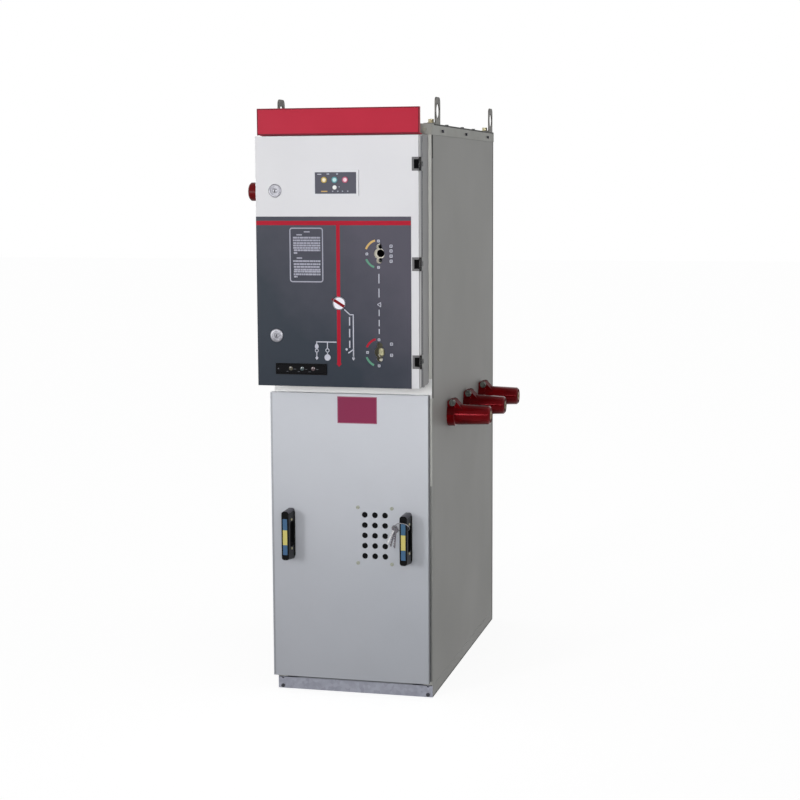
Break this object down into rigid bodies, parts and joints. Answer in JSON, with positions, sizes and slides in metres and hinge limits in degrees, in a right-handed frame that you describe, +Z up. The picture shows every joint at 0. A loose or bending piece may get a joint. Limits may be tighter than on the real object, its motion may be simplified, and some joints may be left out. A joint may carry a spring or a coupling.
{
  "type": "gas insulated ring main unit",
  "caption": "Upright steel switchgear cubicle with a projecting instrument box, hinged mimic door, lift-off lower door, side bushings and lifting lugs.",
  "frame": {"origin": "centre of the plinth footprint on the floor, at the centre of the anchor-hole pattern", "axes": "+Z up, front of the cubicle towards -Y, right-hand side seen from the front towards +X"},
  "size_m": [0.767, 1.143, 1.831],
  "materials": {
    "cabinet_paint": "grey powder coat, fine satin texture",
    "front_paint": "light grey powder coat, satin",
    "box_paint": "grey powder coat, satin",
    "crimson_enamel": "crimson enamel, satin",
    "crimson_sticker": "crimson film, gloss",
    "slate_laminate": "slate polycarbonate overlay with printed lines",
    "bezel_plastic": "light plastic frame with a slate face",
    "lamp_lens": "coloured translucent lenses",
    "black_plastic": "black, fine grain",
    "handle_plastic": "black moulded nylon",
    "ivory_plastic": "ivory moulded plastic",
    "insert_plastic": "blue insert with a yellow middle",
    "indicator_white": "white disc with a red bar",
    "hinge_black": "black zinc die casting",
    "aluzinc": "spangled metal coating, dull",
    "lug_steel": "dull zinc-coated steel",
    "zinc_screws": "zinc-plated",
    "yellow_zinc": "yellow-passivated steel",
    "chrome_lock": "chrome, lightly worn",
    "epoxy_resin": "dark red cast epoxy, glossy",
    "contact_brass": "turned brass, bright"
  },
  "bodies": {
    "cubicle": {"plinth": "aluzinc", "plinth_bolts": "zinc_screws", "floor_plate": "aluzinc", "side_panel_left": "cabinet_paint", "side_panel_right": "cabinet_paint", "rear_panel": "cabinet_paint", "rear_panel_screws": "zinc_screws", "cross_member": "front_paint", "compartment_shelf": "aluzinc", "mechanism_plate": "aluzinc", "roof": "cabinet_paint", "roof_screws": "zinc_screws", "lifting_lugs": "lug_steel", "lug_bolts": "yellow_zinc", "instrument_box": "box_paint", "header_plate": "crimson_enamel", "hinge_fixed_leaves": "hinge_black", "switch_socket": "ivory_plastic", "earthing_socket": "ivory_plastic", "bushings_left": "epoxy_resin", "bushings_right": "epoxy_resin", "bushing_contacts_left": "contact_brass", "bushing_contacts_right": "contact_brass", "bushing_bolts_left": "zinc_screws", "bushing_bolts_right": "zinc_screws"},
    "upper_door": {"upper_door": "front_paint", "mimic_panel": "slate_laminate", "lamp_unit": "bezel_plastic", "signal_lamps": "lamp_lens", "display_strip": "black_plastic", "upper_door_locks": "chrome_lock", "hinge_door_leaves": "hinge_black"},
    "position_indicator": {"position_indicator": "indicator_white"},
    "lower_door": {"lower_door": "front_paint", "symbol_plate": "crimson_sticker", "vent_screen": "black_plastic", "vent_screws": "zinc_screws", "handle_left": "handle_plastic", "handle_right": "handle_plastic", "handle_screws": "yellow_zinc", "handle_inserts": "insert_plastic", "keys": "chrome_lock"}
  },
  "joints": [
    {"name": "upper_door_hinge", "type": "hinge", "parent": "cubicle", "child": "upper_door", "pos_m": [0.2465, -0.6375, 1.3435], "axis": [0, 0, 1], "range_deg": [0, 110]},
    {"name": "position_indicator_turn", "type": "hinge", "parent": "upper_door", "child": "position_indicator", "pos_m": [-0.001, -0.636, 1.223], "axis": [0, 1, 0], "range_deg": [0, 45]},
    {"name": "lower_door_lift_off", "type": "slide", "parent": "cubicle", "child": "lower_door", "axis": [0, -1, 0], "range_m": [0, 0.3]}
  ]
}
